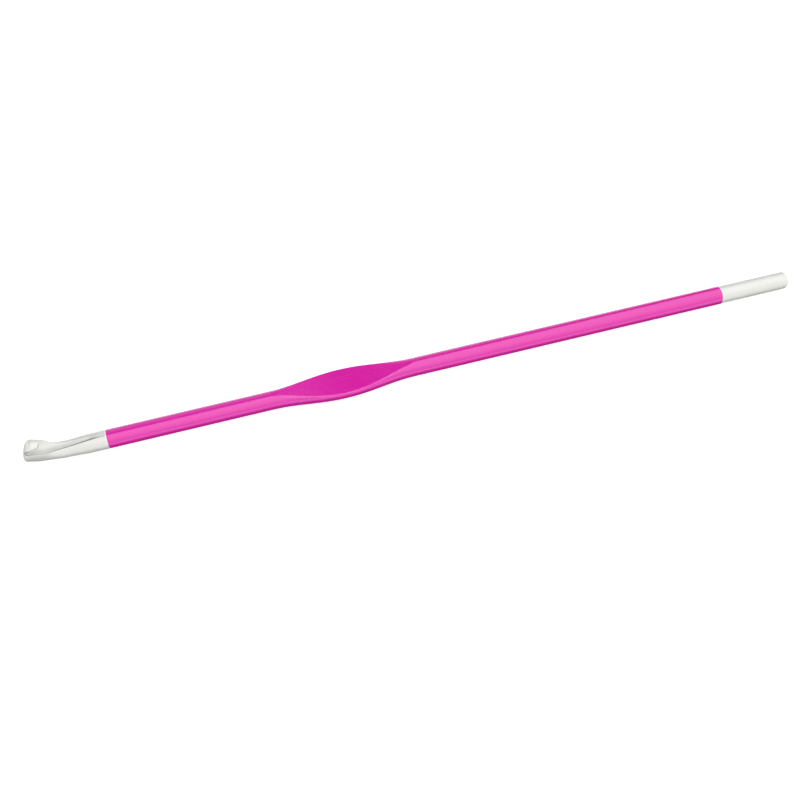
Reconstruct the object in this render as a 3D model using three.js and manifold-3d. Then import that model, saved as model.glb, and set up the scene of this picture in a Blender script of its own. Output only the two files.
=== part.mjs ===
// A crochet hook, 150 mm long: a bright metal head and a bright metal end piece,
// each fixed by a turned spigot in a blind bore of a coloured metal shaft.
// The shaft is pressed flat near the head to make a thumb rest.
//
// Millimetres. X runs along the hook from the head (-X) to the end piece (+X),
// Z is up, and the throat and the thumb rest's broad face look up (+Z).
// The origin is on the surface that the hook lies on, below its middle.
import * as THREE from 'three';
import { mergeVertices } from 'three/addons/utils/BufferGeometryUtils.js';
import Module from 'manifold-3d';

// Driving dimensions
const LENGTH = 150;
const SHAFT_RADIUS = 1.75;
const HEAD_LENGTH = 15;
const END_LENGTH = 14.5;

// Thumb rest
const REST_CENTRE = 59;
const REST_LENGTH = 27.5;
const REST_HALF_THICKNESS = 0.8;
const REST_PRESS_POWER = 1.25;
const REST_SPREAD = 1.3;
const REST_SPREAD_POWER = 1.6;

// Head, measured back from the nose tip along the hook
const NOSE_LENGTH = 0.95;
const NOSE_BLUNTNESS = 3.2;
const NOSE_SLANT = 0.42;
const NOSE_LEAD = 1.355;
const NOSE_FADE = [2.5, 6];
const HEAD_RISE = 2.5;
const HEAD_RISE_START = -1.5;
const HEAD_RISE_END = 7.6;
const HEAD_EXTRA_HEIGHT = 0.48;
const NECK_RELIEF = 0.2;
const NECK_START = [2.3, 5.6];
const NECK_END = [7.8, 11.9];
const CUT_HOLLOW = 0.47;

// Spigot joints between the pieces
const SPIGOT_RADIUS = 1.0;
const HEAD_SPIGOT_LENGTH = 8;
const END_SPIGOT_LENGTH = 6;
const JOINT_CLEARANCE = 0.05;
const BORE_MARGIN = 0.5;
const DRILL_POINT = 0.6;
const EDGE_BREAK = 0.12;

// End piece
const END_RADIUS = 1.7;
const DOME_LENGTH = 0.95;
const DOME_BLUNTNESS = 2.6;

// Facets
const SEGMENTS = 48;
const HEAD_STEP = 0.5;
const REST_STEP = 1;
const ROUND_END_STEPS = 8;
const CUT_STEPS = 14;

const SHAFT_START = HEAD_LENGTH;
const SHAFT_END = LENGTH - END_LENGTH;

const wasm = await Module();
wasm.setup();

// ---------------------------------------------------------------- solids

function toManifold(geometry) {
  const bare = geometry.index ? geometry.toNonIndexed() : geometry.clone();
  bare.deleteAttribute('normal');
  bare.deleteAttribute('uv');
  const merged = mergeVertices(bare, 1e-5);
  const index = merged.index.array;
  const triangles = [];
  for (let i = 0; i < index.length; i += 3) {
    const [a, b, c] = [index[i], index[i + 1], index[i + 2]];
    if (a !== b && b !== c && c !== a) triangles.push(a, b, c);
  }
  const mesh = new wasm.Mesh({
    numProp: 3,
    vertProperties: merged.attributes.position.array,
    triVerts: new Uint32Array(triangles),
  });
  return new wasm.Manifold(mesh);
}

function toGeometry(solid) {
  const { vertProperties, triVerts } = solid.getMesh();
  const geometry = new THREE.BufferGeometry();
  geometry.setAttribute('position', new THREE.BufferAttribute(vertProperties, 3));
  geometry.setIndex(new THREE.BufferAttribute(triVerts, 1));
  return geometry;
}

// Turns a profile of (radius, distance along the hook) about the hook's axis.
function turned(profile) {
  const geometry = new THREE.LatheGeometry(profile.map(([r, s]) => new THREE.Vector2(r, s)), SEGMENTS);
  return geometry.rotateZ(-Math.PI / 2);
}

// Moves every vertex by a rule of (distance along the hook, y, z).
function reshaped(geometry, rule) {
  const position = geometry.attributes.position;
  const point = new THREE.Vector3();
  for (let i = 0; i < position.count; i += 1) {
    point.fromBufferAttribute(position, i);
    rule(point);
    position.setXYZ(i, point.x, point.y, point.z);
  }
  return geometry;
}

function stations(from, to, step) {
  const count = Math.max(1, Math.round((to - from) / step));
  return Array.from({ length: count + 1 }, (_, i) => from + ((to - from) * i) / count);
}

// A blunt rounded end: radius at each station, from 0 at the tip to full radius.
function bluntEnd(radius, length, power) {
  return Array.from({ length: ROUND_END_STEPS + 1 }, (_, i) => {
    const turn = (i / ROUND_END_STEPS) * (Math.PI / 2);
    const out = Math.sin(turn) ** (2 / power);
    const along = 1 - Math.cos(turn) ** (2 / power);
    return [radius * out, length * along];
  });
}

// ---------------------------------------------------------------- head

function headRadius(s) {
  const narrowing = THREE.MathUtils.smoothstep(s, ...NECK_START);
  const widening = THREE.MathUtils.smoothstep(s, ...NECK_END);
  return SHAFT_RADIUS - NECK_RELIEF * (narrowing - widening);
}

function headRise(s) {
  return HEAD_RISE * (1 - THREE.MathUtils.smoothstep(s, HEAD_RISE_START, HEAD_RISE_END));
}

// The round blank: nose, neck, shoulder and spigot, then raised towards the nose.
function headBlank() {
  const nose = bluntEnd(headRadius(0), NOSE_LENGTH, NOSE_BLUNTNESS);
  const body = stations(NOSE_LENGTH, HEAD_LENGTH - EDGE_BREAK, HEAD_STEP)
    .slice(1)
    .map((s) => [headRadius(s), s]);
  const spigotEnd = HEAD_LENGTH + HEAD_SPIGOT_LENGTH;
  const spigot = [
    [SHAFT_RADIUS - EDGE_BREAK, HEAD_LENGTH],
    [SPIGOT_RADIUS, HEAD_LENGTH],
    [SPIGOT_RADIUS, spigotEnd - 2 * EDGE_BREAK],
    [SPIGOT_RADIUS - 2 * EDGE_BREAK, spigotEnd],
    [0, spigotEnd],
  ];
  return reshaped(turned([...nose, ...body, ...spigot]), (p) => {
    const s = p.x;
    const nearNose = 1 - THREE.MathUtils.smoothstep(s, ...NOSE_FADE);
    p.z *= 1 + (HEAD_EXTRA_HEIGHT / SHAFT_RADIUS) * nearNose;
    p.x += NOSE_SLANT * nearNose * (p.z + NOSE_LEAD);
    p.z += headRise(s);
  });
}

// The cut that makes the ramp, the throat and the underside of the lip, drawn in
// side view as (distance along the hook, height above the axis). It is ground
// hollow: its floor curves up towards both sides of the head.
function throatCutter() {
  const openTop = SHAFT_RADIUS + HEAD_RISE + 2 * HEAD_EXTRA_HEIGHT;
  const outline = new THREE.Shape();
  outline.moveTo(15.5, 1.75);
  outline.quadraticCurveTo(12.2, 1.74, 9, 1.32);
  outline.quadraticCurveTo(7, 1.13, 5, 1.1);
  outline.quadraticCurveTo(3.9, 1.1, 2.9, 1.3);
  outline.quadraticCurveTo(1.8, 1.45, 1.1, 1.85);
  outline.quadraticCurveTo(0.4, 2.25, 1.2, 2.65);
  outline.lineTo(3.25, 3.25);
  outline.lineTo(4.2, openTop);
  outline.lineTo(15.5, openTop);
  outline.closePath();
  const width = 2.2 * SHAFT_RADIUS;
  const cutter = new THREE.ExtrudeGeometry(outline, {
    depth: width,
    steps: CUT_STEPS,
    bevelEnabled: false,
    curveSegments: 6,
  });
  cutter.translate(0, 0, -width / 2).rotateX(Math.PI / 2);
  return reshaped(cutter, (p) => {
    p.z += CUT_HOLLOW * p.y ** 2;
  });
}

function hookHead() {
  return toGeometry(toManifold(headBlank()).subtract(toManifold(throatCutter())));
}

// ---------------------------------------------------------------- shaft

// Half thickness of the pressed bar at a station: full radius outside the thumb rest.
function pressedHalf(s) {
  const offCentre = Math.abs(s - REST_CENTRE) / (REST_LENGTH / 2);
  if (offCentre >= 1) return SHAFT_RADIUS;
  const depth = Math.cos((offCentre * Math.PI) / 2) ** REST_PRESS_POWER;
  return SHAFT_RADIUS - (SHAFT_RADIUS - REST_HALF_THICKNESS) * depth;
}

// How far each side has been pushed out sideways by the press.
function spread(s) {
  const pressed = (SHAFT_RADIUS - pressedHalf(s)) / (SHAFT_RADIUS - REST_HALF_THICKNESS);
  return REST_SPREAD * pressed ** REST_SPREAD_POWER;
}

function shaftBlank() {
  const restStart = REST_CENTRE - REST_LENGTH / 2;
  const restEnd = REST_CENTRE + REST_LENGTH / 2;
  const profile = [
    [0, SHAFT_START],
    [SHAFT_RADIUS - EDGE_BREAK, SHAFT_START],
    [SHAFT_RADIUS, SHAFT_START + EDGE_BREAK],
    ...stations(restStart, restEnd, REST_STEP).map((s) => [SHAFT_RADIUS, s]),
    [SHAFT_RADIUS, SHAFT_END - EDGE_BREAK],
    [SHAFT_RADIUS - EDGE_BREAK, SHAFT_END],
    [0, SHAFT_END],
  ];
  return reshaped(turned(profile), (p) => {
    const half = pressedHalf(p.x);
    if (half >= SHAFT_RADIUS) return;
    const ridge = Math.sqrt(SHAFT_RADIUS ** 2 - half ** 2);
    const push = spread(p.x);
    p.y += push * THREE.MathUtils.clamp(p.y / ridge, -1, 1);
    p.z = THREE.MathUtils.clamp(p.z, -half, half);
  });
}

// A blind bore with a drill-point end and a countersunk mouth.
function bore(mouth, spigotLength, direction) {
  const depth = spigotLength + BORE_MARGIN;
  const radius = SPIGOT_RADIUS + JOINT_CLEARANCE;
  const profile = [
    [0, -1],
    [radius + 2 * EDGE_BREAK, -1],
    [radius + 2 * EDGE_BREAK, 0],
    [radius, 2 * EDGE_BREAK],
    [radius, depth],
    [0, depth + radius * DRILL_POINT],
  ];
  const cutter = turned(profile);
  if (direction < 0) cutter.rotateZ(Math.PI);
  return cutter.translate(mouth, 0, 0);
}

function shaft() {
  const headBore = bore(SHAFT_START, HEAD_SPIGOT_LENGTH, 1);
  const endBore = bore(SHAFT_END, END_SPIGOT_LENGTH, -1);
  return toGeometry(toManifold(shaftBlank()).subtract(toManifold(headBore)).subtract(toManifold(endBore)));
}

// ---------------------------------------------------------------- end piece

function endPiece() {
  const start = SHAFT_END;
  const spigotStart = start - END_SPIGOT_LENGTH;
  const dome = bluntEnd(END_RADIUS, DOME_LENGTH, DOME_BLUNTNESS)
    .map(([r, along]) => [r, LENGTH - along])
    .reverse();
  return turned([
    [0, spigotStart],
    [SPIGOT_RADIUS - 2 * EDGE_BREAK, spigotStart],
    [SPIGOT_RADIUS, spigotStart + 2 * EDGE_BREAK],
    [SPIGOT_RADIUS, start],
    [END_RADIUS - EDGE_BREAK, start],
    [END_RADIUS, start + EDGE_BREAK],
    ...dome,
  ]);
}

// ---------------------------------------------------------------- assembly

const brightMetal = { color: 0xe2e1dc, roughness: 0.3, metalness: 1 };
const pinkMetal = { color: 0xd92aa5, roughness: 0.35, metalness: 0.6 };

function piece(name, geometry, look) {
  const mesh = new THREE.Mesh(geometry, new THREE.MeshStandardMaterial(look));
  mesh.name = name;
  return mesh;
}

const hook = new THREE.Group();
hook.position.set(-LENGTH / 2, 0, SHAFT_RADIUS);
hook.add(piece('hook_head', hookHead(), brightMetal));
hook.add(piece('shaft', shaft(), pinkMetal));
hook.add(piece('end_piece', toGeometry(toManifold(endPiece())), brightMetal));

export default hook;
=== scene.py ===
"""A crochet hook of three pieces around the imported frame: head, shaft with a thumb rest and end piece.

Shapes are worked out in millimetres: s along the hook from the tip of the nose, y across it and h above
its axis. to_frame turns them into the frame's metres.
"""
import math

import bpy
import numpy as np
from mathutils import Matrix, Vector


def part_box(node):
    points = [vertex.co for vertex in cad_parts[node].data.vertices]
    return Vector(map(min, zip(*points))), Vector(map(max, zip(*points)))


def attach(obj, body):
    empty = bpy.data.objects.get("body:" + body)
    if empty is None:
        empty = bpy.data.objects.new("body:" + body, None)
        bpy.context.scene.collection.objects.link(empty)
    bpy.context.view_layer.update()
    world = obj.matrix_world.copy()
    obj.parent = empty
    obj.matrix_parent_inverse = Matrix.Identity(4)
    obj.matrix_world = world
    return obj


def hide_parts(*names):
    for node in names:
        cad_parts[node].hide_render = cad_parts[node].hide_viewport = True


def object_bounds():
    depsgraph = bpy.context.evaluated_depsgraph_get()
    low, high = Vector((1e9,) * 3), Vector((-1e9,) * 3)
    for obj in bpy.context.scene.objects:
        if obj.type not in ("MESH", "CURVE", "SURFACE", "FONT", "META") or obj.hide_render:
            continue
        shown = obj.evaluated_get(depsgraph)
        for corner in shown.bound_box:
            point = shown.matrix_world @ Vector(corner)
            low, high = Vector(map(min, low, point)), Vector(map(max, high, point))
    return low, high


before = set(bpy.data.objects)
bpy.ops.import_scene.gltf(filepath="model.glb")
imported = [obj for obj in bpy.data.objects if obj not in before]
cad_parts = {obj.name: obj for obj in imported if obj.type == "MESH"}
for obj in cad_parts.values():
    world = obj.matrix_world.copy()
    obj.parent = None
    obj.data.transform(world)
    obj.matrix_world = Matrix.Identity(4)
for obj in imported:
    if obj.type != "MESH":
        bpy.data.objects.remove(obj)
CAD_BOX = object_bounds()

MM = 0.001

# ------------------------------------------------------------------ driving sizes, from the frame

HEAD_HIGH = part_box("hook_head")[1]
SHAFT_LOW, SHAFT_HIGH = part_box("shaft")
END_LOW, END_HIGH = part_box("end_piece")

TIP_X = CAD_BOX[0].x / MM
LENGTH = (CAD_BOX[1].x - CAD_BOX[0].x) / MM
RADIUS = SHAFT_HIGH.z / MM / 2
END_RADIUS = END_HIGH.y / MM
SHAFT_START = SHAFT_LOW.x / MM - TIP_X
SHAFT_END = SHAFT_HIGH.x / MM - TIP_X
HEAD_SPIGOT_END = HEAD_HIGH.x / MM - TIP_X
END_SPIGOT_START = END_LOW.x / MM - TIP_X
REST_SPREAD = SHAFT_HIGH.y / MM - RADIUS

# ------------------------------------------------------------------ shape details, in millimetres

SKIN = 0.004                 # the looks stay this far inside the CAD surface
SPIGOT_RADIUS = 1.0
SPIGOT_ROOT = 1.0            # how far the head's spigot reaches back into the head
BORE_RADIUS = 1.05
BORE_MARGIN = 0.5            # how much deeper a bore is than its spigot is long
DRILL_POINT = 0.6            # length of the bore's pointed bottom, as a share of its radius
EDGE_BREAK = 0.12            # size of the small rounding on the turned edges

REST_CENTRE = 59
REST_LENGTH = 27.5
REST_HALF_THICKNESS = 0.8
REST_PRESS_POWER = 1.25
REST_SPREAD_POWER = 1.6
REST_RIDGE_ROUNDING = 0.14
RIDGE_ROUNDING_RISE = 6      # the ridge has its full rounding from a sixth of the press depth on
RIDGE_WEAR_WIDTH = 0.12
RIDGE_WEAR_RISE = (0.02, 0.3)    # the wear on the ridge grows over these shares of the press depth

NOSE_LENGTH = 0.95
NOSE_BLUNTNESS = 3.2
NOSE_SLANT = 0.42
NOSE_LEAD = 1.355
NOSE_FADE = (2.5, 6)         # the nose's slant and extra height fade out over this stretch
HEAD_RISE = 2.5
HEAD_RISE_OVER = (-1.5, 7.6)
HEAD_EXTRA_HEIGHT = 0.48
NECK_RELIEF = 0.2
NECK_START = (2.3, 5.6)
NECK_END = (7.8, 11.9)
CUT_END = 15.5               # the ramp has run out of the head before this station
CUT_TOP = 6.0                # above the head, so that the cut is open upwards
CUT_HOLLOW = 0.47            # the cut's floor curves up by this much, times y squared
CUT_ROUNDING = 0.07

# Painted shade: a dark line along the cut's edge and in the slot under the lip, strongest on the near
# side.
SHADE_EDGE_FADE = (0.03, 0.13)     # the painted shade along the cut's sharp edge fades out between these distances
SLOT_SHADE_REACH = 0.15             # it reaches this much further around the slot under the lip
SLOT_FADE = (1.0, 1.9)       # the stretch over which that extra reach ends
SHADE_DEPTH = (0.02, 0.12)    # the painted shade comes up where the cut gets this deep
FAR_SIDE_SHADE = 0.3          # its strength on the far side of the hook
NEAR_SIDE = (-0.1, 0.3)      # it comes up to full strength over this stretch towards the near side
JOINT_HIGHLIGHT_WIDTH = 0.22           # width of the painted highlight band beside each joint
BAND_SOFTNESS = 0.06

DOME_LENGTH = 0.95
DOME_BLUNTNESS = 2.6

RING_SEGMENTS = 192
REST_STEP = 0.125
PLAIN_STEP = 1.0
BAND_STEP = 0.1
NET_STEP = 0.06
NET_MARGIN = 0.2             # the net's grid is this much larger than the head all round,
NET_AHEAD = 0.3              # this much ahead of the nose
NET_ABOVE = 0.6              # and this much above the raised nose's axis and radius


# ------------------------------------------------------------------ small formulas

def smoothstep(value, start, end):
    t = np.clip((value - start) / (end - start), 0, 1)
    return t * t * (3 - 2 * t)


def soft_min(a, b, width):
    """The smaller of two values, with the corner between them rounded over that width."""
    share = np.clip(0.5 + 0.5 * (b - a) / width, 0, 1)
    return b + (a - b) * share - width * share * (1 - share)


def soft_max(a, b, width):
    return -soft_min(-a, -b, width)


def to_frame(points):
    """(s, y, h) in millimetres as frame coordinates in metres."""
    shift = np.array([TIP_X, 0, RADIUS])
    return (np.asarray(points, float) + shift) * MM


# ------------------------------------------------------------------ meshes

def new_object(name, vertices, faces):
    mesh = bpy.data.meshes.new(name)
    mesh.from_pydata(vertices.tolist(), [], faces)
    mesh.validate()
    mesh.update()
    mesh.shade_smooth()
    obj = bpy.data.objects.new(name, mesh)
    bpy.context.scene.collection.objects.link(obj)
    return obj


def store(obj, name, values):
    attribute = obj.data.attributes.new(name, "FLOAT", "POINT")
    attribute.data.foreach_set("value", np.asarray(values, np.float32))


def turned_rings(profile):
    """Points (s, y, h) of a profile of (s, radius) turned about the axis, and the faces between them.
    The profile starts and ends on the axis."""
    segments = RING_SEGMENTS
    angles = np.arange(segments) * 2 * math.pi / segments
    rings = [
        np.column_stack([np.full(segments, s), r * np.cos(angles), r * np.sin(angles)])
        for s, r in profile[1:-1]
    ]
    first_tip = np.array([[profile[0][0], 0, 0]])
    last_tip = np.array([[profile[-1][0], 0, 0]])
    points = np.vstack([first_tip, *rings, last_tip])
    faces = []
    for ring in range(len(rings) - 1):
        base = 1 + ring * segments
        for i in range(segments):
            j = (i + 1) % segments
            faces.append((base + i, base + segments + i, base + segments + j, base + j))
    last_base = 1 + (len(rings) - 1) * segments
    for i in range(segments):
        j = (i + 1) % segments
        faces.append((0, 1 + i, 1 + j))
        faces.append((len(points) - 1, last_base + j, last_base + i))
    return points, faces


def rounded_edge(s, radius, towards, rounding, steps=5):
    """(s, radius) points of a rounded outside edge at s, on the way from the end face to the side.
    towards is +1 if the side lies at larger s."""
    turns = np.linspace(0, math.pi / 2, steps + 1)
    return [
        (s + towards * rounding * (1 - math.cos(t)), radius - rounding * (1 - math.sin(t)))
        for t in turns
    ]


def stations(start, end, step):
    count = max(1, round((end - start) / step))
    return np.linspace(start, end, count + 1)


def surface_net(field, low, high, step):
    """Vertices and quads of the surface where field(points) is 0, on a grid of that step."""
    axes = [np.arange(a, b + step, step) for a, b in zip(low, high)]
    grid = np.stack(np.meshgrid(*axes, indexing="ij"), axis=-1)
    inside = field(grid.reshape(-1, 3)).reshape(grid.shape[:3]) < 0
    corners = np.zeros(tuple(n - 1 for n in inside.shape), int)
    for i in (0, 1):
        for j in (0, 1):
            for k in (0, 1):
                corners += inside[i:i - 1 or None, j:j - 1 or None, k:k - 1 or None]
    crossed = (corners > 0) & (corners < 8)
    number = np.full(crossed.shape, -1)
    number[crossed] = np.arange(crossed.sum())
    vertices = grid[:-1, :-1, :-1][crossed] + step / 2
    quads = []
    for axis in range(3):
        u, v = (axis + 1) % 3, (axis + 2) % 3
        here = np.take(inside, range(inside.shape[axis] - 1), axis)
        there = np.take(inside, range(1, inside.shape[axis]), axis)
        for leaving in (True, False):
            edges = np.argwhere((here & ~there) if leaving else (~here & there))
            ring = []
            for du, dv in ((1, 1), (0, 1), (0, 0), (1, 0)):
                cell = edges.copy()
                cell[:, u] -= du
                cell[:, v] -= dv
                ring.append(number[tuple(cell.T)])
            quads.append(np.column_stack(ring if leaving else ring[::-1]))
    return vertices, np.vstack(quads)


def settle(points, field, reach=1e-3, least_slope2=0.05):
    """Moves points onto the surface where field is 0, along the field's slope."""
    slope = np.empty_like(points)
    for axis in range(3):
        nudge = np.zeros(3)
        nudge[axis] = reach
        slope[:, axis] = (field(points + nudge) - field(points - nudge)) / (2 * reach)
    slope2 = np.maximum((slope ** 2).sum(axis=1), least_slope2)
    return points - slope * (field(points) / slope2)[:, None]


def relaxed(points, quads, field, rounds):
    """Evens out a net's vertices and settles them on the surface each time."""
    edges = np.vstack([quads[:, [i, (i + 1) % 4]] for i in range(4)])
    edges = np.unique(np.sort(edges, axis=1), axis=0)
    neighbours = np.bincount(edges.ravel(), minlength=len(points))[:, None]
    for _ in range(rounds):
        total = np.zeros_like(points)
        for axis in range(3):
            total[:, axis] += np.bincount(edges[:, 0], points[edges[:, 1], axis], len(points))
            total[:, axis] += np.bincount(edges[:, 1], points[edges[:, 0], axis], len(points))
        points = settle(0.5 * points + 0.5 * total / neighbours, field)
    return points


def painted_joint_highlight(s, start, end):
    """1 on the painted highlight band between two stations, 0 elsewhere."""
    begun = smoothstep(s, start - BAND_SOFTNESS, start + BAND_SOFTNESS)
    ended = smoothstep(-s, -end - BAND_SOFTNESS, -end + BAND_SOFTNESS)
    return begun * ended


# ------------------------------------------------------------------ head

def head_radius(s):
    """The round blank's radius, a little less along the neck."""
    return RADIUS - NECK_RELIEF * (smoothstep(s, *NECK_START) - smoothstep(s, *NECK_END))


def head_rise(s):
    """How far the head's axis is bent up towards the nose."""
    return HEAD_RISE * (1 - smoothstep(s, *HEAD_RISE_OVER))


def near_nose(s):
    """1 at the nose, 0 behind the stretch where its shape fades out."""
    return 1 - smoothstep(s, *NOSE_FADE)


def curve_points(start, control, end, steps=12):
    """Points of a quadratic curve, without its start."""
    t = np.linspace(0, 1, steps + 1)[1:, None]
    start, control, end = (np.array(p, float) for p in (start, control, end))
    return (1 - t) ** 2 * start + 2 * t * (1 - t) * control + t ** 2 * end


def throat_outline():
    """The cut that makes the ramp, the throat and the underside of the lip, as (s, h)."""
    curves = [
        ((CUT_END, 1.75), (12.2, 1.74), (9, 1.32)),
        ((9, 1.32), (7, 1.13), (5, 1.1)),
        ((5, 1.1), (3.9, 1.1), (2.9, 1.3)),
        ((2.9, 1.3), (1.8, 1.45), (1.1, 1.85)),
        ((1.1, 1.85), (0.4, 2.25), (1.2, 2.65)),
    ]
    open_side = [(3.25, 3.25), (4.2, CUT_TOP), (CUT_END, CUT_TOP)]
    return np.vstack([curves[0][0], *[curve_points(*c) for c in curves], open_side])


OUTLINE = throat_outline()


def outline_distance(s, h, outline):
    """Distance from the closed outline, negative inside it."""
    nearest = np.full(s.shape, 1e9)
    inside = np.zeros(s.shape, bool)
    for (s0, h0), (s1, h1) in zip(outline, np.roll(outline, -1, axis=0)):
        ds, dh = s1 - s0, h1 - h0
        t = np.clip(((s - s0) * ds + (h - h0) * dh) / (ds * ds + dh * dh), 0, 1)
        nearest = np.minimum(nearest, (s - s0 - t * ds) ** 2 + (h - h0 - t * dh) ** 2)
        crosses = (h0 > h) != (h1 > h)
        if dh:
            inside ^= crosses & (s < s0 + ds * (h - h0) / dh)
    return np.where(inside, -1, 1) * np.sqrt(nearest)


def cut_distance(points):
    """Distance from the hollow-ground cut, negative inside it."""
    x, y, h = points.T
    return outline_distance(x, h - CUT_HOLLOW * y ** 2, OUTLINE)


def unraised(x, h, rounds=12):
    """The station and height that a point of the head had on the straight round blank."""
    s = x
    for _ in range(rounds):
        s = x - NOSE_SLANT * near_nose(s) * (h - head_rise(s) + NOSE_LEAD)
    return s, (h - head_rise(s)) / (1 + HEAD_EXTRA_HEIGHT / RADIUS * near_nose(s))


def blank_distance(points):
    """Roughly the distance from the uncut head, negative inside it."""
    x, y, h = points.T
    s, z = unraised(x, h)
    out = np.hypot(y, z)
    radius = head_radius(s) - SKIN
    ahead = np.maximum(NOSE_LENGTH - s, 0) / (NOSE_LENGTH - SKIN)
    power = NOSE_BLUNTNESS
    body = radius * (((out / radius) ** power + ahead ** power) ** (1 / power) - 1)
    return soft_max(body, s - SHAFT_START, 2 * EDGE_BREAK)


def head_field(points):
    """Below 0 inside the head."""
    s, y, h = points.T
    head = soft_max(blank_distance(points), -cut_distance(points), CUT_ROUNDING)
    spigot = soft_max(np.hypot(y, h) - SPIGOT_RADIUS, s - HEAD_SPIGOT_END, 2 * EDGE_BREAK)
    return np.minimum(head, np.maximum(spigot, SHAFT_START - SPIGOT_ROOT - s))


def painted_edge_shade(points):
    """Painted shade by how near each point is to the sharp edge of the cut: weaker on the far side and
    where the cut is shallow, broader around the narrow slot under the lip."""
    x, y, h = points.T
    off_edge = np.hypot(cut_distance(points), blank_distance(points))
    middle = np.column_stack([x, np.zeros_like(y), h - CUT_HOLLOW * y ** 2])
    deep = smoothstep(-blank_distance(middle), *SHADE_DEPTH)
    side = FAR_SIDE_SHADE + (1 - FAR_SIDE_SHADE) * smoothstep(-y, *NEAR_SIDE)
    in_slot = 1 - smoothstep(x, *SLOT_FADE)
    start, end = SHADE_EDGE_FADE
    return (1 - smoothstep(off_edge, start, end + SLOT_SHADE_REACH * in_slot)) * deep * side


def make_head():
    top = RADIUS + HEAD_RISE + NET_ABOVE
    low = np.array([-NET_AHEAD, -RADIUS - NET_MARGIN, -RADIUS - NET_MARGIN])
    high = np.array([HEAD_SPIGOT_END + NET_MARGIN, RADIUS + NET_MARGIN, top])
    points, quads = surface_net(head_field, low, high, NET_STEP)
    for _ in range(3):
        points = settle(points, head_field)
    points = relaxed(points, quads, head_field, rounds=6)
    head = new_object("crochet_hook_head", to_frame(points), quads.tolist())
    # painted shade along the cut's edge and in the slot under the lip
    store(head, "painted_edge_shade", painted_edge_shade(points))
    # a painted highlight on the band beside the joint
    store(head, "painted_joint_highlight", painted_joint_highlight(points[:, 0], SHAFT_START - JOINT_HIGHLIGHT_WIDTH, SHAFT_START))
    return head


# ------------------------------------------------------------------ shaft

def pressed_half(s):
    """Half thickness of the pressed bar: the full radius outside the thumb rest."""
    off_centre = np.minimum(np.abs(s - REST_CENTRE) / (REST_LENGTH / 2), 1)
    return RADIUS - (RADIUS - REST_HALF_THICKNESS) * np.cos(off_centre * math.pi / 2) ** REST_PRESS_POWER


def pressed(points):
    """The round bar's points pressed flat at the thumb rest, and how near each is to its ridge."""
    s, y, h = points.T.copy()
    half = pressed_half(s)
    depth = (RADIUS - half) / (RADIUS - REST_HALF_THICKNESS)
    ridge = np.sqrt(np.maximum(RADIUS ** 2 - half ** 2, 1e-6))
    push = REST_SPREAD * depth ** REST_SPREAD_POWER
    moved = depth > 0
    rounding = REST_RIDGE_ROUNDING * np.minimum(depth * RIDGE_ROUNDING_RISE, 1) + 1e-6
    size = soft_min(np.abs(h), half, rounding)
    near_ridge = np.exp(-((np.abs(h) - half) / RIDGE_WEAR_WIDTH) ** 2)
    near_ridge *= smoothstep(depth, *RIDGE_WEAR_RISE)
    y = np.where(moved, y + push * np.clip(y / ridge, -1, 1), y)
    h = np.where(moved, np.sign(h) * size, h)
    return np.column_stack([s, y, h]), near_ridge


def bore_profile(mouth, depth, direction):
    """(s, radius) from the drill point out to the edge of the mouth."""
    bottom = mouth + direction * depth
    return [
        (bottom + direction * DRILL_POINT * BORE_RADIUS, 0),
        (bottom, BORE_RADIUS),
        (mouth + direction * 2 * EDGE_BREAK, BORE_RADIUS),
        (mouth, BORE_RADIUS + 2 * EDGE_BREAK),
    ]


def make_shaft():
    side = RADIUS - SKIN
    head_bore = bore_profile(SHAFT_START, HEAD_SPIGOT_END - SHAFT_START + BORE_MARGIN, 1)
    end_bore = bore_profile(SHAFT_END, SHAFT_END - END_SPIGOT_START + BORE_MARGIN, -1)
    rest_start = REST_CENTRE - REST_LENGTH / 2
    rest_end = REST_CENTRE + REST_LENGTH / 2
    outside = [
        *rounded_edge(SHAFT_START, side, 1, EDGE_BREAK),
        *[(s, side) for s in stations(SHAFT_START + 2 * EDGE_BREAK, rest_start, PLAIN_STEP)],
        *[(s, side) for s in stations(rest_start, rest_end, REST_STEP)[1:]],
        *[(s, side) for s in stations(rest_end, SHAFT_END - 2 * EDGE_BREAK, PLAIN_STEP)[1:]],
        *reversed(rounded_edge(SHAFT_END, side, -1, EDGE_BREAK)),
    ]
    points, faces = turned_rings([*head_bore, *outside, *reversed(end_bore)])
    points, near_ridge = pressed(points)
    shaft = new_object("crochet_hook_shaft", to_frame(points), faces)
    store(shaft, "ridge", near_ridge)
    return shaft


# ------------------------------------------------------------------ end piece

def blunt_end(tip, radius, length, power, steps=24):
    """(s, radius) of a blunt rounded end, from its full radius to its tip on the axis."""
    turns = np.linspace(math.pi / 2, 0, steps + 1)
    return [
        (tip - length * (1 - math.cos(t) ** (2 / power)), radius * math.sin(t) ** (2 / power))
        for t in turns
    ]


def make_end_piece():
    side = END_RADIUS - SKIN
    spigot = [
        (END_SPIGOT_START, 0),
        *rounded_edge(END_SPIGOT_START, SPIGOT_RADIUS, 1, 2 * EDGE_BREAK),
        (SHAFT_END, SPIGOT_RADIUS),
    ]
    body = [
        *rounded_edge(SHAFT_END, side, 1, EDGE_BREAK),
        *[(s, side) for s in stations(SHAFT_END + 2 * EDGE_BREAK, LENGTH - DOME_LENGTH, BAND_STEP)[:-1]],
        *blunt_end(LENGTH - SKIN, side, DOME_LENGTH, DOME_BLUNTNESS),
    ]
    points, faces = turned_rings([*spigot, *body])
    end_piece = new_object("crochet_hook_end", to_frame(points), faces)
    # a painted highlight on the band beside the joint
    store(end_piece, "painted_joint_highlight", painted_joint_highlight(points[:, 0], SHAFT_END, SHAFT_END + JOINT_HIGHLIGHT_WIDTH))
    return end_piece


# ------------------------------------------------------------------ materials

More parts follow.
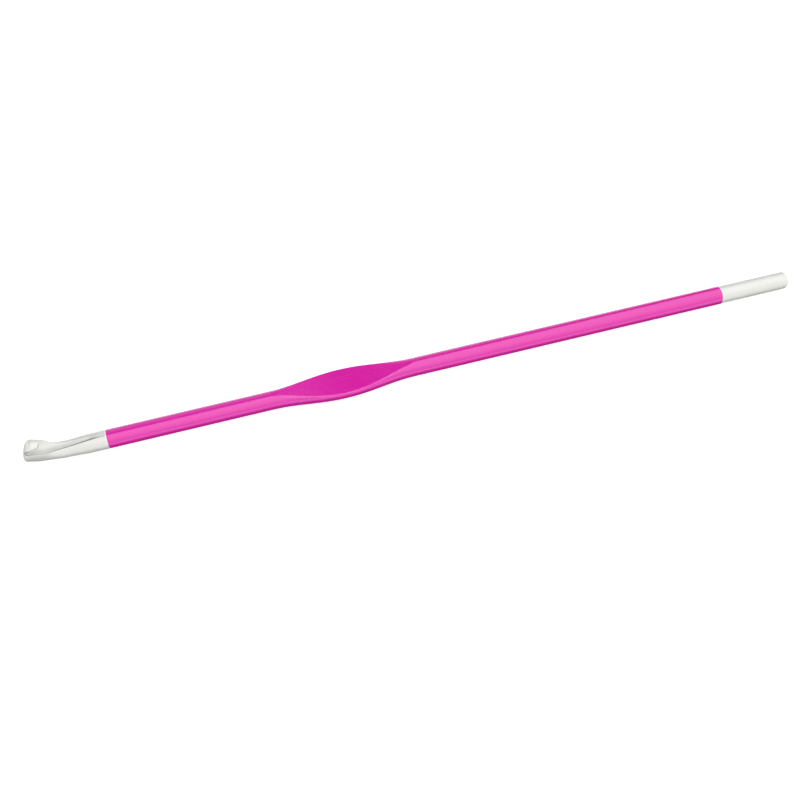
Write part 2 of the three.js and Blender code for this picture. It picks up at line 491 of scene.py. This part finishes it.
FINE_RELIEF = 0.000004       # height of the fine lines, in metres
PINK = (0.81, 0.007, 0.415, 1)
DEEP_PINK = (0.79, 0.009, 0.43, 1)
WORN_PINK = (0.88, 0.16, 0.58, 1)
SILVER = (0.84, 0.845, 0.80, 1)
DULL_SILVER = (0.80, 0.805, 0.765, 1)
BRIGHT_SILVER = (0.90, 0.90, 0.865, 1)
# the colour of the painted highlight on the band beside each joint
HIGHLIGHT_SILVER = (0.97, 0.97, 0.96, 1)
# the colour of the painted shade along the cut's edge and in the slot under the lip
PAINTED_SHADE_GREY = (0.13, 0.13, 0.12, 1)


class Nodes:
    """A short way to add and join shader nodes."""

    def __init__(self, tree):
        self.tree = tree

    def add(self, kind, inputs=(), **settings):
        node = self.tree.nodes.new(kind)
        for key, value in settings.items():
            setattr(node, key, value)
        for key, value in dict(inputs).items():
            self.set(node, key, value)
        return node

    def set(self, node, key, value):
        if isinstance(value, bpy.types.NodeSocket):
            self.tree.links.new(value, node.inputs[key])
        else:
            node.inputs[key].default_value = value

    def noise(self, scale, stretch=(1, 1, 1), detail=3):
        """Noise over the object's own coordinates, in cells per metre, stretched along each axis."""
        place = self.add("ShaderNodeTexCoord").outputs["Object"]
        sizes = tuple(scale / x for x in stretch)
        scaled = self.add("ShaderNodeMapping", {"Vector": place, "Scale": sizes})
        inputs = {"Vector": scaled.outputs[0], "Scale": 1, "Detail": detail}
        return self.add("ShaderNodeTexNoise", inputs).outputs["Fac"]

    def range(self, value, low, high, to_low, to_high, way="LINEAR"):
        inputs = {"Value": value, "From Min": low, "From Max": high, "To Min": to_low, "To Max": to_high}
        return self.add("ShaderNodeMapRange", inputs, interpolation_type=way).outputs[0]

    def smooth_range(self, value, low, high, to_low, to_high):
        return self.range(value, low, high, to_low, to_high, way="SMOOTHSTEP")

    def math(self, operation, a, b):
        return self.add("ShaderNodeMath", {0: a, 1: b}, operation=operation).outputs[0]

    def mix(self, factor, a, b):
        node = self.add("ShaderNodeMix", data_type="RGBA")
        for socket, value in ((0, factor), (6, a), (7, b)):
            self.set(node, socket, value)
        return node.outputs[2]

    def blend(self, factor, a, b):
        """From the number a at factor 0 to b at 1."""
        return self.add("ShaderNodeMix", {0: factor, 2: a, 3: b}).outputs[0]

    def attribute(self, name):
        return self.add("ShaderNodeAttribute", attribute_name=name).outputs["Fac"]

    def fine_relief(self, lines, grain, strength):
        """The surface tilt from fine lines with some grain between them."""
        height = self.math("ADD", self.math("MULTIPLY", lines, 0.7), self.math("MULTIPLY", grain, 0.3))
        inputs = {"Height": height, "Distance": FINE_RELIEF, "Strength": strength}
        return self.add("ShaderNodeBump", inputs).outputs[0]


def new_material(name):
    material = bpy.data.materials.new(name)
    material.use_nodes = True
    return material, Nodes(material.node_tree), material.node_tree.nodes["Principled BSDF"]


def coloured_metal():
    """Pink-coloured aluminium with a clear coat: fine lines along the bar, worn paler on the ridges."""
    material, n, shader = new_material("pink_coloured_aluminium")
    broad = n.noise(220, stretch=(6, 1, 1), detail=2)
    draw_lines = n.noise(9000, stretch=(90, 1, 1), detail=3)
    grain = n.noise(14000, detail=2)
    colour = n.mix(n.range(broad, 0.35, 0.65, 0, 1), DEEP_PINK, PINK)
    patches = n.range(n.noise(1500, detail=4), 0.35, 0.7, 0.05, 0.5)
    worn = n.math("MULTIPLY", n.attribute("ridge"), patches)
    colour = n.mix(worn, colour, WORN_PINK)
    n.set(shader, "Base Color", colour)
    n.set(shader, "Metallic", 0.08)
    n.set(shader, "Roughness", n.range(draw_lines, 0.3, 0.7, 0.21, 0.29))
    n.set(shader, "Coat Weight", 1.0)
    n.set(shader, "Coat Roughness", 0.05)
    n.set(shader, "Normal", n.fine_relief(draw_lines, grain, strength=0.25))
    return material


def bright_metal(name):
    """Satin aluminium, finely lined along the bar, with painted shade at the cut's edge and a painted
    highlight on the band beside each joint.
    """
    material, n, shader = new_material(name)
    broad = n.noise(260, stretch=(4, 1, 1), detail=3)
    lines = n.noise(9000, stretch=(40, 1, 1), detail=3)
    grain = n.noise(16000, detail=2)
    colour = n.mix(n.range(broad, 0.3, 0.7, 0, 1), DULL_SILVER, SILVER)
    colour = n.mix(n.range(lines, 0.55, 0.8, 0, 0.5), colour, BRIGHT_SILVER)
    # painted shade along the cut's edge and in the slot under the lip
    colour = n.mix(n.math("MULTIPLY", n.attribute("painted_edge_shade"), 0.9), colour, PAINTED_SHADE_GREY)
    # a painted highlight on the band beside each joint
    colour = n.mix(n.attribute("painted_joint_highlight"), colour, HIGHLIGHT_SILVER)
    n.set(shader, "Base Color", colour)
    n.set(shader, "Metallic", 0.3)
    n.set(shader, "Roughness", n.range(lines, 0.3, 0.7, 0.42, 0.5))
    n.set(shader, "Normal", n.fine_relief(lines, grain, strength=0.5))
    return material


def floor_material():
    """A plain pale floor that glows a little, so that it stays white under the soft light."""
    material, n, shader = new_material("pale_floor")
    mottling = n.noise(12, detail=2)
    n.set(shader, "Base Color", n.mix(mottling, (0.90, 0.90, 0.90, 1), (0.92, 0.92, 0.92, 1)))
    n.set(shader, "Roughness", 0.9)
    n.set(shader, "Specular IOR Level", 0.1)
    n.set(shader, "Emission Color", (1, 1, 1, 1))
    n.set(shader, "Emission Strength", 0.6)
    return material


# ------------------------------------------------------------------ stage

CAMERA_AZIMUTH = -16.27
CAMERA_ELEVATION = 55.2
CAMERA_DISTANCE = 0.2290
CAMERA_LENS = 54.55
CAMERA_AIM_RIGHT = -0.0047           # it looks at a point this far right of the middle of the hook
CAMERA_AIM_UP = -0.00674             # and this far up, both as the camera sees it

# The studio light, by direction. Each START pair is where one light fades into the next: FRONT and BACK
# along FRONT_SIDE, SIDE by the direction's X, TABLE and LOWER by its Z.
HIGH_FRONT_LIGHT = 1.64              # the front panel straight overhead
LOW_FRONT_LIGHT = 0.64               # the front panel at the horizon
BACK_LIGHT = 0.52
GAP_LIGHT = 0.02                     # the dark gap between the front and the back panel
SIDE_LIGHT = 1.1
TABLE_LIGHT = 1.3                    # from the white table around, just below the horizon
LOWER_LIGHT = 0.06
FRONT_SIDE = (0.789, -0.560, 0.252)  # points from the back panel towards the front one
FRONT_START = (0.05, 0.115)
BACK_START = (-0.095, -0.165)
SIDE_START = (0.6, 0.85)
TABLE_START = (-0.02, -0.12)
LOWER_START = (-0.2, -0.75)
FLOOR_SIZE = 20.0                    # metres


def direction(azimuth, elevation):
    """From the object towards a viewer at that azimuth and elevation in degrees."""
    a, e = math.radians(azimuth), math.radians(elevation)
    return Vector((math.sin(a) * math.cos(e), -math.cos(a) * math.cos(e), math.sin(e)))


def make_camera():
    back = direction(CAMERA_AZIMUTH, CAMERA_ELEVATION)
    turn = (-back).to_track_quat("-Z", "Y")
    aim = turn @ Vector((CAMERA_AIM_RIGHT, CAMERA_AIM_UP, 0)) + Vector((0, 0, RADIUS * MM))
    data = bpy.data.cameras.new("camera")
    data.sensor_width = 36
    data.lens = CAMERA_LENS
    data.clip_start = 0.01
    data.clip_end = 20
    camera = bpy.data.objects.new("camera", data)
    camera.rotation_mode = "QUATERNION"
    camera.rotation_quaternion = turn
    camera.location = aim + back * CAMERA_DISTANCE
    bpy.context.scene.collection.objects.link(camera)
    bpy.context.scene.camera = camera


def make_world():
    """Plain soft studio light: a front panel that is brightest overhead, a dimmer back panel with a dark
    gap between them, even sides, and a white table that is brightest just below the horizon."""
    world = bpy.data.worlds.new("studio")
    world.use_nodes = True
    n = Nodes(world.node_tree)
    way = n.add("ShaderNodeTexCoord").outputs["Generated"]
    parts = n.add("ShaderNodeSeparateXYZ", {0: way})
    height = parts.outputs["Z"]
    dot = n.add("ShaderNodeVectorMath", {0: way, 1: FRONT_SIDE}, operation="DOT_PRODUCT")
    across = dot.outputs["Value"]
    sideways = n.math("ABSOLUTE", parts.outputs["X"], 0)
    front = n.range(height, 0, 1, LOW_FRONT_LIGHT, HIGH_FRONT_LIGHT)
    back = n.smooth_range(across, *BACK_START, GAP_LIGHT, BACK_LIGHT)
    light = n.blend(n.smooth_range(across, *FRONT_START, 0, 1), back, front)
    light = n.blend(n.smooth_range(sideways, *SIDE_START, 0, 1), light, SIDE_LIGHT)
    table = n.smooth_range(height, *LOWER_START, TABLE_LIGHT, LOWER_LIGHT)
    light = n.blend(n.smooth_range(height, *TABLE_START, 0, 1), light, table)
    background = world.node_tree.nodes["Background"]
    background.inputs["Color"].default_value = (1, 1, 1, 1)
    n.set(background, "Strength", light)
    bpy.context.scene.world = world


def make_floor():
    half = FLOOR_SIZE / 2
    corners = np.array([(-half, -half, 0), (half, -half, 0), (half, half, 0), (-half, half, 0)])
    floor = new_object("floor", corners, [(0, 1, 2, 3)])
    floor.data.materials.append(floor_material())
    floor.visible_diffuse = False    # the world's table light already stands for it
    floor.visible_glossy = False


# ------------------------------------------------------------------ assembly

def place(piece, node, slot, material):
    piece.data.materials.append(material)
    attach(piece, "root")
    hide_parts(node)


bpy.context.scene.view_settings.view_transform = "Standard"
make_camera()
make_world()
make_floor()
place(make_head(), "hook_head", "head_metal", bright_metal("head_aluminium"))
place(make_shaft(), "shaft", "shaft_coat", coloured_metal())
place(make_end_piece(), "end_piece", "end_metal", bright_metal("end_aluminium"))
